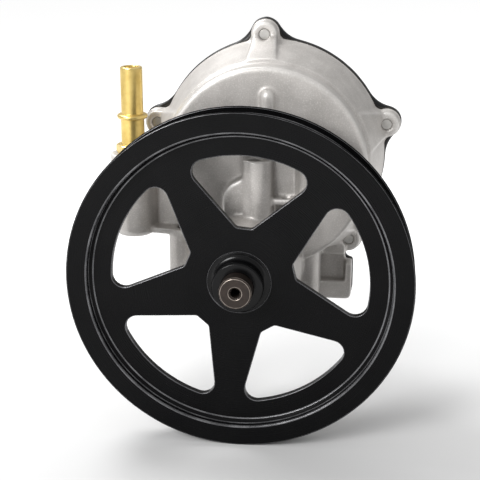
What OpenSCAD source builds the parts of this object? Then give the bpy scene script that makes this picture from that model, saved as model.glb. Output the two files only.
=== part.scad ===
// Belt-driven centrifugal supercharger with an internal step-up gear train.
// Frame: X to the right, Y rearward (the pulley is at -Y), Z up.
// The origin lies on the base face, directly below the input shaft axis.
// Every size is in millimetres.

/* [Input shaft and base] */
// Height of the input shaft axis above the base face
axis_z = 31; // [30.8:0.1:32]
// Input shaft diameter
shaft_d = 17; // [17:0.1:17.2]
// Front end of the input shaft
nose_y = -69.5; // [-75:0.5:-68]

/* [Pulley] */
// Outer radius of the pulley flanges
pulley_r = 90; // [88:0.5:92]
// Width of the pulley rim
rim_w = 17; // [16.8:0.1:18]
// Front face of the pulley rim
rim_y = -58; // [-58.5:0.1:-58]
// Number of belt ribs
belt_ribs = 4; // [3:1:4]
// Pitch of the belt ribs
rib_pitch = 3.56; // [3.4:0.01:3.56]
// Number of windows in the web
window_count = 5; // [3:1:5]
// Direction of the first window, measured from +X towards +Z
window_a = 13; // [0:1:71]
// Radius of the windows' outer edge
window_outer_r = 67; // [64:0.5:69]
// Thickness of the web
web_t = 4; // [3:0.1:4.2]

/* [Drum housing] */
// Sideways offset of the impeller axis from the input shaft
drum_x = 9.5; // [9:0.1:10]
// Height of the impeller axis above the input shaft
drum_rise = 52.7; // [52.4:0.1:52.9]
// Radius of the drum's front part
drum_r = 54; // [53:0.5:54.5]
// Radius of the drum's rear flange
flange_r = 62.5; // [62:0.5:63]
// Front face of the drum
drum_front = -23; // [-24:0.5:-23]
// Joint plane between the front housing and the volute
joint_y = 22; // [22:0.1:22.2]
// Radius of the circle through the flange screws
screw_circle_r = 65.5; // [65.3:0.1:66]
// Radius of each screw ear
ear_r = 7.8; // [7.5:0.1:8]

/* [Step-up gears] */
// Gear module
gear_m = 1; // [1:0.01:1]
// Teeth of the input gear
input_teeth = 48; // [48:1:48]
// Teeth of the idler gear
idler_teeth = 24; // [24:1:24]
// Teeth of the impeller shaft's pinion
pinion_teeth = 16; // [16:1:16]
// Face width of the gears
gear_w = 10; // [9:0.5:10]

/* [Compressor] */
// Radius of the impeller
impeller_r = 27; // [26:0.5:27]
// Number of impeller blades
blade_count = 9; // [7:1:11]
// Outer radius of the air inlet neck
inlet_r = 25; // [25:0.1:25.4]
// Outer radius of the air outlet pipe
outlet_r = 12; // [11.5:0.1:12]

/* [Hose nipple] */
// Outer radius of the nipple's tube
nipple_r = 6; // [5.8:0.1:6.2]
// Height of the nipple's mouth above the base face
nipple_top = 132.5; // [130:0.5:134]

/* [Hidden] */
$fn = 96;

// Shared clearances.
running_gap = 0.05;
still_gap = 0.1;

// Axes.
shaft_r = shaft_d / 2;
drum_z = axis_z + drum_rise;
centre_line = norm([drum_x, drum_rise]);
centre_dir = atan2(drum_rise, drum_x);

// Gear train geometry, seen from the front.
input_pitch_r = gear_m * input_teeth / 2;
idler_pitch_r = gear_m * idler_teeth / 2;
pinion_pitch_r = gear_m * pinion_teeth / 2;
mesh_1 = input_pitch_r + idler_pitch_r;
mesh_2 = idler_pitch_r + pinion_pitch_r;
mesh_bend = acos((mesh_1 * mesh_1 + centre_line * centre_line - mesh_2 * mesh_2)
    / (2 * mesh_1 * centre_line));
idler_dir = centre_dir + mesh_bend;
idler_x = mesh_1 * cos(idler_dir);
idler_z = axis_z + mesh_1 * sin(idler_dir);
pinion_dir = atan2(drum_z - idler_z, drum_x - idler_x);
// Gears turned so that a tooth of one stands in a gap of the next.
input_phase = idler_dir;
idler_phase = idler_dir + 180 + 180 / idler_teeth;
idler_lead = (pinion_dir - idler_phase) % (360 / idler_teeth);
pinion_phase = pinion_dir + 180 + 180 / pinion_teeth + idler_lead * idler_teeth / pinion_teeth;

// Stations along Y.
web_y = rim_y + 5.5;
nose_front = -46;
gear_y = -7;
gear_end = gear_y + gear_w;
plate_y = 12;
gasket_t = 0.6;
volute_y = joint_y + gasket_t;
ear_front = joint_y - 8;

// Bearings: [bore radius, outer radius, width, ball circle radius, ball radius, balls, front face].
input_bearing = [shaft_r, 20, 12, 14.25, 3.1, 8];
fast_bearing = [5, 13, 8, 9, 2.2, 8];
front_bearing_y = -37.5;
rear_bearing_y = 8;
nose_bearing_y = -17;
tail_bearing_y = 7;

// Screw ears around the drum: four in view, and two at the gear case's foot.
ear_angles = [15.7, 93.6, 166.2, 312.4];
foot_ears = [[-34.5, 21], [26.5, 8.5]];
drum_ears = [for (a = ear_angles) [drum_x + screw_circle_r * cos(a), drum_z + screw_circle_r * sin(a)]];
ears = concat(drum_ears, foot_ears);
divider_screw_angles = [40, 100, 160];

// Compressor.
outlet_lean = 17;
outlet_end_z = 17;
inlet_end_y = 70;
scroll_sweep = 342;
scroll_start = scroll_sweep - outlet_lean;
scroll_line_r = 38;
scroll_tube_r = outlet_r;

// ---------- helpers ----------

// A flat outline in X and Z, made solid between two stations along Y.
module y_slab(y0, y1) {
    translate([0, y1, 0])
        rotate([90, 0, 0])
            linear_extrude(height = y1 - y0)
                children();
}

// A profile of radius and Y, turned about the Y axis.
module y_turn() {
    rotate([-90, 0, 0])
        rotate_extrude()
            children();
}

module y_rod(y0, y1, r) {
    translate([0, y0, 0])
        rotate([-90, 0, 0])
            cylinder(h = y1 - y0, r = r);
}

module z_rod(x, y, z0, z1, r) {
    translate([x, y, z0])
        cylinder(h = z1 - z0, r = r);
}

module y_ring(y0, y1, r_in, r_out) {
    y_turn()
        polygon([[r_in, y0], [r_out, y0], [r_out, y1], [r_in, y1]]);
}

module at_shaft() {
    translate([0, 0, axis_z])
        children();
}

module at_drum() {
    translate([drum_x, 0, drum_z])
        children();
}

module at_idler() {
    translate([idler_x, 0, idler_z])
        children();
}

function arc_points(cx, cy, r, a0, a1, steps) =
    [for (i = [0:steps]) let (a = a0 + (a1 - a0) * i / steps) [cx + r * cos(a), cy + r * sin(a)]];

function flip_y(points) = [for (i = [len(points) - 1:-1:0]) [points[i][0], -points[i][1]]];

// ---------- pulley ----------

// Half of a window: straight inner edge, straight flank and round outer edge, with rounded corners.
window_inner_u = 29.2;
window_inner_v = 4.1;
window_flank_a = 46;
window_outer_corner = 6.5;
window_inner_corner = 2.5;

function window_half() =
    let (flank = [cos(window_flank_a), sin(window_flank_a)],
         inward = [sin(window_flank_a), -cos(window_flank_a)],
         start = [window_inner_u, window_inner_v] + window_outer_corner * inward,
         along = start * flank,
         reach = window_outer_r - window_outer_corner,
         t = -along + sqrt(along * along - start * start + reach * reach),
         outer_c = start + t * flank,
         inner_c_u = window_inner_u + window_inner_corner,
         inner_start = [window_inner_u, window_inner_v] + window_inner_corner * inward,
         inner_c = inner_start + (inner_c_u - inner_start[0]) / flank[0] * flank,
         outer_a = atan2(outer_c[1], outer_c[0]))
    concat(
        arc_points(0, 0, window_outer_r, 0, outer_a, 8),
        arc_points(outer_c[0], outer_c[1], window_outer_corner, outer_a + 8, window_flank_a + 90, 7),
        arc_points(inner_c[0], inner_c[1], window_inner_corner, window_flank_a + 90, 180, 3));

module window_outline() {
    half = window_half();
    polygon(concat(half, flip_y(half)));
}

// Rim profile: two flanges, the belt ribs between them and a rolled inner edge.
rim_belt_r = pulley_r - 3.4;
rim_root_r = rim_belt_r - 2.7;
rim_inner_r = 79;
rim_bore_r = rim_root_r - 3.2;
rim_flange_t = (rim_w - belt_ribs * rib_pitch) / 2;

function rib_points() =
    [for (i = [0:belt_ribs - 1], p = [[rim_root_r, 0.35], [rim_root_r, 0.65], [rim_belt_r, 1.35],
        [rim_belt_r, 1.65]])
        let (s = (p[1] - 0.5) * rib_pitch / 2 + rib_pitch / 4)
        [p[0], rim_y + rim_flange_t + i * rib_pitch + s]];

module rim_profile() {
    rear_y = rim_y + rim_w;
    polygon(concat(
        [[rim_inner_r, rim_y + 0.6], [rim_inner_r + 0.6, rim_y], [pulley_r - 2, rim_y]],
        arc_points(pulley_r - 0.6, rim_y + 0.6, 0.6, -90, 90, 6),
        rib_points(),
        [[rim_belt_r, rear_y - rim_flange_t]],
        arc_points(pulley_r - 0.6, rear_y - 0.6, 0.6, -90, 90, 6),
        [[rim_bore_r, rear_y], [rim_bore_r, web_y + web_t], [rim_inner_r - 6, web_y + web_t],
         [rim_inner_r - 6, web_y], [rim_inner_r - 2, web_y], [rim_inner_r, web_y - 2]]));
}

module pulley_wheel() {
    color([0.05, 0.05, 0.055])
        at_shaft() {
            y_turn()
                rim_profile();
            y_slab(web_y, web_y + web_t)
                difference() {
                    circle(r = rim_inner_r - 5.9, $fn = 180);
                    circle(r = hub_r);
                    for (i = [0:window_count - 1])
                        rotate(window_a + i * 360 / window_count)
                            window_outline();
                }
        }
}

// Hub pressed on the shaft, with a groove for the puller in front of the web.
hub_r = 16.4;
hub_face_y = rim_y - 3.5;
hub_rear_y = -47;
hub_groove_r = 12.5;
hub_collar_r = 13.3;

module pulley_hub() {
    color([0.06, 0.06, 0.065])
        at_shaft()
            y_turn()
                polygon(concat(
                    [[shaft_r, hub_face_y], [hub_collar_r - 0.7, hub_face_y],
                     [hub_collar_r, hub_face_y + 0.7], [hub_collar_r, hub_face_y + 3],
                     [hub_groove_r, hub_face_y + 3.8], [hub_groove_r, web_y - 2.6]],
                    arc_points(hub_groove_r + 2.6, web_y - 2.6, 2.6, 180, 90, 5),
                    [[hub_r, web_y], [hub_r, hub_rear_y], [shaft_r, hub_rear_y]]));
}

// ---------- input shaft line ----------

shaft_rear_y = 20;
shaft_shoulder_r = 11;
centre_hole_r = 2.5;
centre_hole_depth = 18;
key_w = 5;
key_h = 5;
key_depth = 3;

module input_shaft() {
    color([0.42, 0.38, 0.35])
        at_shaft()
            difference() {
                y_turn()
                    polygon([
                        [0, nose_y], [shaft_r - 0.8, nose_y], [shaft_r, nose_y + 0.8],
                        [shaft_r, -25.5], [shaft_shoulder_r, -25.5], [shaft_shoulder_r, gear_y],
                        [shaft_r, gear_y], [shaft_r, shaft_rear_y - 0.8],
                        [shaft_r - 0.8, shaft_rear_y], [0, shaft_rear_y]]);
                y_rod(nose_y - 1, nose_y + centre_hole_depth, centre_hole_r);
                translate([0, nose_y - 0.01, 0])
                    rotate([-90, 0, 0])
                        cylinder(h = 1, r1 = centre_hole_r + 1, r2 = centre_hole_r);
                translate([-key_w / 2, gear_y, shaft_r - key_depth])
                    cube([key_w, gear_w, key_h]);
            }
}

module gear_key() {
    color([0.5, 0.5, 0.52])
        at_shaft()
            translate([-key_w / 2, gear_y, shaft_r - key_depth])
                cube([key_w, gear_w, key_h]);
}

// Involute tooth outline. The teeth are cut thin for backlash.
pressure_a = 20;
backlash_a = 0.16;

function involute_a(base_r, r) =
    let (a = acos(min(1, base_r / r)))
    tan(a) * 180 / PI - a;

function tooth_half_a(teeth, base_r, pitch_r, r) =
    90 / teeth - backlash_a * gear_m / pitch_r * 180 / PI / 2
    + involute_a(base_r, pitch_r) - involute_a(base_r, r);

function tooth_points(teeth, index) =
    let (pitch_r = gear_m * teeth / 2,
         base_r = pitch_r * cos(pressure_a),
         root_r = pitch_r - 1.25 * gear_m,
         tip_r = pitch_r + 0.95 * gear_m,
         start_r = max(base_r, root_r),
         radii = [for (i = [0:4]) start_r + (tip_r - start_r) * i / 4],
         mid = index * 360 / teeth,
         root_half = tooth_half_a(teeth, base_r, pitch_r, start_r))
    concat(
        [root_r * [cos(mid - root_half), sin(mid - root_half)]],
        [for (r = radii) let (a = mid - tooth_half_a(teeth, base_r, pitch_r, r)) r * [cos(a), sin(a)]],
        [for (i = [4:-1:0]) let (r = radii[i], a = mid + tooth_half_a(teeth, base_r, pitch_r, r))
            r * [cos(a), sin(a)]],
        [root_r * [cos(mid + root_half), sin(mid + root_half)]]);

module spur_outline(teeth, phase) {
    rotate(phase)
        polygon([for (i = [0:teeth - 1]) each tooth_points(teeth, i)]);
}

module input_gear() {
    color([0.62, 0.63, 0.65])
        at_shaft()
            difference() {
                y_slab(gear_y, gear_end)
                    spur_outline(input_teeth, input_phase);
                y_rod(gear_y - 1, gear_end + 1, shaft_r);
                translate([-key_w / 2, gear_y - 1, shaft_r - key_depth])
                    cube([key_w, gear_w + 2, key_h]);
                // A shallow recess on each face between hub and rim.
                y_ring(gear_y - 1, gear_y + 2, 13.5, 19.5);
                y_ring(gear_end - 2, gear_end + 1, 13.5, 19.5);
            }
}

module input_spacer() {
    color([0.55, 0.56, 0.58])
        at_shaft()
            y_ring(gear_end, rear_bearing_y, shaft_r, shaft_r + 2.3);
}

module input_seal() {
    color([0.09, 0.09, 0.09])
        at_shaft()
            y_turn()
                polygon([
                    [shaft_r + running_gap, -43.4], [shaft_r + 1.2, seal_y[0]], [seal_r, seal_y[0]],
                    [seal_r, seal_y[1]], [12.6, seal_y[1]], [12.6, -43.6], [shaft_r + 1.6, -43.6], [shaft_r + 1.4, -40.6],
                    [shaft_r + running_gap, -41.6]]);
}

circlip_y = -25.2;
circlip_t = 1.5;

module front_circlip() {
    color([0.3, 0.3, 0.32])
        at_shaft()
            difference() {
                y_ring(circlip_y, circlip_y + circlip_t, 17.6, 21.1);
                translate([-3.5, circlip_y - 1, -24])
                    cube([7, circlip_t + 2, 8]);
            }
}

// ---------- ball bearings ----------

race_gap = 0.3;

module bearing_outer(b, y) {
    land = b[3] + 0.62 * b[4];
    color([0.68, 0.69, 0.7])
        difference() {
            y_ring(y, y + b[2], land, b[1]);
            translate([0, y + b[2] / 2, 0])
                rotate([-90, 0, 0])
                    rotate_extrude()
                        translate([b[3], 0])
                            circle(r = b[4] + race_gap, $fn = 32);
        }
}

module bearing_inner(b, y) {
    land = b[3] - 0.62 * b[4];
    color([0.7, 0.71, 0.72])
        difference() {
            y_ring(y, y + b[2], b[0], land);
            translate([0, y + b[2] / 2, 0])
                rotate([-90, 0, 0])
                    rotate_extrude()
                        translate([b[3], 0])
                            circle(r = b[4] + race_gap, $fn = 32);
        }
}

module bearing_balls(b, y) {
    color([0.78, 0.79, 0.8])
        for (i = [0:b[5] - 1])
            rotate([0, i * 360 / b[5], 0])
                translate([b[3], y + b[2] / 2, 0])
                    sphere(r = b[4], $fn = 32);
}

module bearing_cage(b, y) {
    half_t = b[4] * 0.28;
    half_w = b[4] * 1.22;
    color([0.55, 0.5, 0.42])
        difference() {
            y_ring(y + b[2] / 2 - half_w, y + b[2] / 2 + half_w, b[3] - half_t, b[3] + half_t);
            for (i = [0:b[5] - 1])
                rotate([0, i * 360 / b[5], 0])
                    translate([b[3], y + b[2] / 2, 0])
                        rotate([0, 90, 0])
                            cylinder(h = b[4] * 2, r = b[4] + 0.06, center = true, $fn = 32);
        }
}

module front_bearing_outer_ring() { at_shaft() bearing_outer(input_bearing, front_bearing_y); }
module front_bearing_inner_ring() { at_shaft() bearing_inner(input_bearing, front_bearing_y); }
module front_bearing_balls() { at_shaft() bearing_balls(input_bearing, front_bearing_y); }
module front_bearing_cage() { at_shaft() bearing_cage(input_bearing, front_bearing_y); }
module rear_bearing_outer_ring() { at_shaft() bearing_outer(input_bearing, rear_bearing_y); }
module rear_bearing_inner_ring() { at_shaft() bearing_inner(input_bearing, rear_bearing_y); }
module rear_bearing_balls() { at_shaft() bearing_balls(input_bearing, rear_bearing_y); }
module rear_bearing_cage() { at_shaft() bearing_cage(input_bearing, rear_bearing_y); }
module nose_bearing_outer_ring() { at_drum() bearing_outer(fast_bearing, nose_bearing_y); }
module nose_bearing_inner_ring() { at_drum() bearing_inner(fast_bearing, nose_bearing_y); }
module nose_bearing_balls() { at_drum() bearing_balls(fast_bearing, nose_bearing_y); }
module nose_bearing_cage() { at_drum() bearing_cage(fast_bearing, nose_bearing_y); }
module tail_bearing_outer_ring() { at_drum() bearing_outer(fast_bearing, tail_bearing_y); }
module tail_bearing_inner_ring() { at_drum() bearing_inner(fast_bearing, tail_bearing_y); }
module tail_bearing_balls() { at_drum() bearing_balls(fast_bearing, tail_bearing_y); }
module tail_bearing_cage() { at_drum() bearing_cage(fast_bearing, tail_bearing_y); }

// Wave washer behind the nose bearing's outer ring, drawn as a plain ring.
module preload_spring() {
    color([0.45, 0.46, 0.5])
        at_drum()
            y_ring(nose_bearing_y - 0.8, nose_bearing_y, 10.6, 12.8);
}

// ---------- idler ----------

idler_pin_r = 5;
bush_r = 6.5;
washer_t = 1;

module idler_pin() {
    color([0.6, 0.61, 0.63])
        at_idler()
            y_rod(-21, 19, idler_pin_r);
}

module idler_bush() {
    color([0.72, 0.53, 0.3])
        at_idler()
            y_ring(gear_y, gear_end, idler_pin_r + running_gap, bush_r);
}

module idler_gear() {
    color([0.62, 0.63, 0.65])
        at_idler()
            difference() {
                y_slab(gear_y, gear_end)
                    spur_outline(idler_teeth, idler_phase);
                y_rod(gear_y - 1, gear_end + 1, bush_r);
            }
}

module idler_washers() {
    color([0.75, 0.6, 0.35])
        at_idler() {
            y_ring(gear_y - 0.4 - washer_t, gear_y - 0.4, idler_pin_r + still_gap, 9);
            y_ring(gear_end + 0.4, gear_end + 0.4 + washer_t, idler_pin_r + still_gap, 9);
        }
}

// ---------- impeller shaft line ----------

fast_r = 5;
pinion_land = 0.5;
wheel_front = 23.4;
wheel_rear = 42;
wheel_bore_r = 4;

module impeller_shaft() {
    color([0.58, 0.58, 0.6])
        at_drum() {
            y_rod(-18.5, gear_y - pinion_land, fast_r);
            y_slab(gear_y - pinion_land, gear_end + pinion_land)
                spur_outline(pinion_teeth, pinion_phase);
            y_rod(gear_end + pinion_land, wheel_front, fast_r);
            y_rod(wheel_front, wheel_rear + 6, wheel_bore_r);
        }
}

module impeller_sleeve() {
    color([0.66, 0.66, 0.68])
        at_drum()
            y_ring(tail_bearing_y + 8, wheel_front, fast_r, 7);
}

module impeller_seal() {
    color([0.1, 0.1, 0.1])
        at_drum()
            y_ring(16.5, 21, 7 + running_gap, 11);
}

wheel_tip_w = 3.5;
eye_r = 20;
hub_nose_r = 7;

// The shroud line runs from the eye at the rear out to the tip.
function shroud_points() =
    [for (i = [0:8]) let (a = 90 * i / 8)
        [impeller_r - (impeller_r - eye_r) * sin(a),
         wheel_front + 2 + wheel_tip_w + (wheel_rear - wheel_front - 2 - wheel_tip_w) * (1 - cos(a))]];

function wheel_hub_points() =
    [for (i = [0:8]) let (a = 90 * i / 8)
        [hub_nose_r + (impeller_r - hub_nose_r) * (1 - sin(a)),
         wheel_front + 2 + (wheel_rear - wheel_front - 2) * (1 - cos(a))]];

blade_t = 0.9;
blade_turn = 48;

module blade_outline() {
    steps = 8;
    outer = [for (i = [0:steps]) let (r = 5 + (impeller_r - 5) * i / steps, a = -blade_turn * pow(i / steps, 1.6))
        r * [cos(a), sin(a)]];
    inner = [for (i = [steps:-1:0]) let (r = 5 + (impeller_r - 5) * i / steps,
        a = -blade_turn * pow(i / steps, 1.6) + blade_t / r * 180 / PI)
        r * [cos(a), sin(a)]];
    polygon(concat(outer, inner));
}

module impeller() {
    color([0.78, 0.79, 0.81])
        at_drum()
            difference() {
                union() {
                    y_turn()
                        polygon(concat([[0, wheel_front], [impeller_r, wheel_front]], wheel_hub_points(),
                            [[0, wheel_rear]]));
                    intersection() {
                        y_slab(wheel_front + 1, wheel_rear)
                            for (i = [0:blade_count - 1])
                                rotate(i * 360 / blade_count)
                                    blade_outline();
                        y_turn()
                            polygon(concat([[0, wheel_front], [impeller_r, wheel_front]],
                                shroud_points(), [[0, wheel_rear]]));
                    }
                }
                y_rod(wheel_front - 1, wheel_rear + 1, wheel_bore_r);
            }
}

module impeller_nut() {
    color([0.7, 0.7, 0.72])
        at_drum()
            difference() {
                union() {
                    y_slab(wheel_rear, wheel_rear + 4)
                        circle(r = 6.4, $fn = 6);
                    y_turn()
                        polygon([[0, wheel_rear + 4], [5.2, wheel_rear + 4], [3.5, wheel_rear + 8],
                            [0, wheel_rear + 9]]);
                }
                y_rod(wheel_rear - 1, wheel_rear + 6, wheel_bore_r);
            }
}

// ---------- housing outlines ----------

// Round flange, gear case lobe, screw ears with concave flanks and the outlet block.
module ear_web(ear, ear_radius, rim_radius, flank) {
    d = [ear[0] - drum_x, ear[1] - drum_z];
    reach = norm(d);
    a = atan2(d[1], d[0]);
    far = rim_radius + flank;
    near = ear_radius + flank;
    swing = acos((reach * reach + far * far - near * near) / (2 * reach * far));
    c1 = [drum_x + far * cos(a + swing), drum_z + far * sin(a + swing)];
    c2 = [drum_x + far * cos(a - swing), drum_z + far * sin(a - swing)];
    translate(ear)
        circle(r = ear_radius, $fn = 48);
    difference() {
        polygon([[drum_x, drum_z], c2, ear, c1]);
        translate(c1)
            circle(r = flank, $fn = 48);
        translate(c2)
            circle(r = flank, $fn = 48);
    }
}

lobe_r = 30.5;
block_x0 = 30;
block_x1 = 56;
block_top = 27;

module block_outline(grow) {
    translate([block_x0 - grow, 0.01])
        square([block_x1 - block_x0 + 2 * grow - 3, block_top - 5]);
    translate([block_x0 - grow, 3])
        square([block_x1 - block_x0 + 2 * grow, block_top - 8]);
    translate([block_x1 + grow - 3, 3.01])
        circle(r = 3, $fn = 48);
    translate([block_x0, 10])
        square([22, 34]);
}

module foot_web() {
    polygon([[-30, 40], [-41, 24], [-34.5, 13.3], [0, 0.5], [26.5, 0.7], [44, 10], [40, 50]]);
}

module flange_outline(grow, flank) {
    translate([drum_x, drum_z])
        circle(r = flange_r + grow, $fn = 180);
    for (ear = drum_ears)
        ear_web(ear, ear_r + grow, flange_r + grow, flank);
    for (ear = foot_ears)
        translate(ear)
            circle(r = ear_r + grow, $fn = 48);
    translate([0, axis_z])
        circle(r = lobe_r);
    foot_web();
    block_outline(grow);
}

// The gear chamber as seen from the front, made larger by grow.
chamber_r = 48;
chamber_lobe_r = 26.4;
plate_r = 52;
plate_lobe_r = 28;

module chamber_outline(big, small) {
    translate([drum_x, drum_z])
        circle(r = big, $fn = 180);
    translate([0, axis_z])
        circle(r = small);
}

// ---------- front housing ----------

foot_bolt = [-37, 0];
foot_bolt_r = 4.25;
foot_boss_r = 8.8;
foot_top = 44;
column = [31.5, -8];
column_r = 7.3;
ledge_z = 66.5;
ledge_t = 3.2;
ledge_hole = [22, -26];
ledge_hole_r = 2.4;
column_thread_r = 3.4;
column_thread_depth = 22;
tower = [-65.5, 2];
tower_r = 12.5;
tower_bottom = 39;
tower_top = 85;
boss = [6.6, -27];
boss_r = 8;
boss_top = 90.5;
// Axis of the boss's thread, a little left of its middle.
boss_thread = [5, -28.4];
boss_thread_r = 3.4;
boss_thread_depth = 16;
screw_r = 2.9;
screw_hole_r = 3.05;

module drum_body() {
    at_drum()
        y_turn()
            polygon(concat(
                [[0, drum_front]],
                arc_points(drum_r - 2, drum_front + 2, 2, -90, 0, 5),
                [[drum_r, -11], [drum_r + 1.4, -10.2], [flange_r - 0.4, joint_y - 3.2],
                 [flange_r, joint_y - 2.4], [flange_r, joint_y], [0, joint_y]]));
}

module gear_case_body() {
    at_shaft()
        y_turn()
            polygon([[0, nose_front], [25.8, nose_front], [27, nose_front + 1.2], [lobe_r, -28],
                [lobe_r, joint_y], [0, joint_y]]);
}

// A ridge that carries each ear forward to the step in the drum's wall.
// Web from the drum to an ear: how far it spreads on its first and second side, seen from the ear's direction.
ear_spread = [[7.8, 14], [8, 8], [14, 7.8], [8, 8]];
web_root_u = 55;
// Front of the lip that runs round the joint, at each ear.
lip_y = joint_y - 3.6;
web_tip_v = ear_r - 1.5;

module ear_ridge(a, spread) {
    at_drum()
        intersection() {
            rotate([0, -a, 0])
                y_slab(-12, joint_y)
                    polygon([[30, -spread[0]], [web_root_u, -spread[0]], [screw_circle_r, -web_tip_v],
                        [screw_circle_r, web_tip_v], [web_root_u, spread[1]], [30, spread[1]]]);
            y_turn()
                polygon([[40, -10], [drum_r + 2, -10], [screw_circle_r - 1, ear_front],
                    [screw_circle_r - 1, joint_y], [40, joint_y]]);
        }
}

module front_boss() {
    z_rod(boss[0], boss[1], 50, boss_top, boss_r);
    translate([boss[0] - boss_r, boss[1], 50])
        cube([2 * boss_r, 6, boss_top - 50]);
    // Buttress on the boss's left side.
    y_slab(-31, drum_front + 1)
        polygon(concat([[boss[0] - 2, 55], [-11.5, 55]], arc_points(0, 68, 11.5, 180, 110, 6),
            [[boss[0] - 2, 84]]));
}

// Short upright rib on the drum's front, with a round top.
rib_x = 11.2;
rib_y = drum_front + 0.6;
rib_r = 4.2;
rib_bottom = 104;
rib_top = 122.4;

module drum_rib() {
    z_rod(rib_x, rib_y, rib_bottom, rib_top, rib_r);
    translate([rib_x, rib_y, rib_top])
        sphere(r = rib_r, $fn = 48);
}

foot_plate_t = 3.2;

module left_foot() {
    z_rod(foot_bolt[0], foot_bolt[1], 0, foot_top, foot_boss_r);
    translate([0, 0, foot_top - foot_plate_t])
        linear_extrude(height = foot_plate_t)
            polygon([[-62, -4], [-45, -6.5], [-41, -7.9], [-33, -7.9], [-28, -6], [-20, -6], [-20, joint_y - 2],
                [-62, joint_y - 4]]);
    // Wall that ties the foot to the gear case.
    translate([-30, 2, 2])
        cube([12, joint_y - 4, foot_top - 4]);
}

module tower_body() {
    z_rod(tower[0], tower[1], tower_bottom + 3, tower_top, tower_r);
    translate([tower[0], tower[1], tower_bottom])
        cylinder(h = 3.01, r1 = tower_r - 3, r2 = tower_r);
    translate([tower[0], 3, tower_bottom + 4])
        cube([40, 13, tower_top - tower_bottom - 4]);
}

// The right side has a lower column, an upper column above the ledge, and a raised pad.
column_end = 58;
upper_column = [33.3, -21.5];
upper_column_r = 7;
upper_column_z = [62, 93];
ledge_box = [22, 10, ledge_t];

module right_column() {
    z_rod(column[0], column[1], 0, column_end, column_r);
    z_rod(upper_column[0], upper_column[1], upper_column_z[0], upper_column_z[1], upper_column_r);
    translate([12, -30, ledge_z])
        cube(ledge_box);
    translate([column[0] - column_r, column[1], 10])
        cube([2 * column_r, joint_y - column[1] - 6, 36]);
    // Raised pad between the column and the drum wall.
    y_slab(-12, 10) {
        translate([37, 57])
            circle(r = 9, $fn = 48);
        polygon([[24, 40], [39, 44], [44.5, 52], [40, 66], [24, 66]]);
    }
}

module outlet_block() {
    y_slab(joint_y - 10, joint_y)
        block_outline(0);
}

seal_r = 15;
seal_y = [-45.2, -39];
nose_shoulder_y = -38.5;
nose_bore_r = 12.8;

module nose_bores() {
    at_shaft() {
        y_rod(nose_front - 1, nose_shoulder_y, seal_r + still_gap / 10);
        y_rod(nose_front - 2, -36, nose_bore_r);
        y_rod(front_bearing_y, -22, input_bearing[1]);
        y_ring(circlip_y - 0.05, circlip_y + circlip_t + 0.05, 19, 21.3);
        y_rod(-23.7, joint_y, chamber_lobe_r - 4);
    }
}

module chamber() {
    y_slab(drum_front + 4, plate_y)
        translate([drum_x, drum_z])
            circle(r = chamber_r, $fn = 180);
    y_slab(drum_front + 8, plate_y)
        translate([0, axis_z])
            circle(r = chamber_lobe_r);
    y_slab(plate_y, joint_y + 1)
        chamber_outline(plate_r, plate_lobe_r);
}

module inner_bosses() {
    at_drum()
        y_ring(drum_front + 3, -8.6, 12.5, 17);
    at_idler()
        y_rod(drum_front + 3, -9, 9);
    for (a = divider_screw_angles)
        at_drum()
            rotate([0, -a, 0])
                translate([45.5, 0, 0])
                    y_rod(drum_front + 3, plate_y - 0.4, 5.2);
}

module front_housing() {
    color([0.72, 0.71, 0.69])
        difference() {
            union() {
                difference() {
                    union() {
                        drum_body();
                        gear_case_body();
                        y_slab(joint_y - 3.2, joint_y)
                            intersection() {
                                flange_outline(-0.25, 5);
                                translate([-100, 0])
                                    square([200, 200]);
                            }
                        for (ear = ears)
                            translate([ear[0], 0, ear[1]]) {
                                y_rod(ear_front, joint_y, ear_r - 1);
                                y_rod(lip_y, joint_y, ear_r);
                            }
                        for (i = [0:len(ear_angles) - 1])
                            ear_ridge(ear_angles[i], ear_spread[i]);
                        front_boss();
                        drum_rib();
                        left_foot();
                        tower_body();
                        right_column();
                        outlet_block();
                        // Machined pad under the gear case.
                        translate([-20, -18, 0])
                            cube([40, joint_y + 18, 9]);
                    }
                    chamber();
                    nose_bores();
                }
                inner_bosses();
            }
            for (ear = ears)
                translate([ear[0], 0, ear[1]])
                    y_rod(ear_front - 12, joint_y + 1, screw_hole_r);
            // Seat of the impeller shaft's nose bearing, with room in front of it for the preload spring.
            at_drum() {
                y_rod(nose_bearing_y - 1, -8, fast_bearing[1]);
                y_rod(drum_front + 3.5, -8, 10);
            }
            at_idler()
                y_rod(-21, -8, idler_pin_r);
            for (a = divider_screw_angles)
                at_drum()
                    rotate([0, -a, 0])
                        translate([45.5, 0, 0])
                            y_rod(0, joint_y, 2.5);
            for (p = dowel_places)
                translate([p[0], 0, p[1]])
                    y_rod(plate_y - 6, plate_y + 1, dowel_r);
            z_rod(foot_bolt[0], foot_bolt[1], -1, foot_top + 1, foot_bolt_r);
            z_rod(column[0], column[1], -1, column_thread_depth, column_thread_r);
            z_rod(boss_thread[0], boss_thread[1], boss_top - boss_thread_depth, boss_top + 1, boss_thread_r);
            z_rod(ledge_hole[0], ledge_hole[1], ledge_z - 1, ledge_z + ledge_t + 1, ledge_hole_r);
            // Passage and socket under the nipple.
            z_rod(tower[0], tower[1], 50, tower_top + 1, 4);
            z_rod(tower[0], tower[1], nipple_socket_z, tower_top + 1, nipple_socket_r);
            translate([tower[0], tower[1] + 6, 56])
                rotate([0, 90, 0])
                    cylinder(h = 38, r = 3.5);
            // Pocket in the outlet block's face.
            translate([35, joint_y - 11, 11])
                cube([17.2, 7, 15.5]);
        }
}

// ---------- divider plate and joints ----------

dowel_r = 1.5;
dowel_circle_r = 49.9;
dowel_angles = [168, 350];
dowel_places = [for (a = dowel_angles)
    [drum_x + dowel_circle_r * cos(a), drum_z + dowel_circle_r * sin(a)]];

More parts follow.
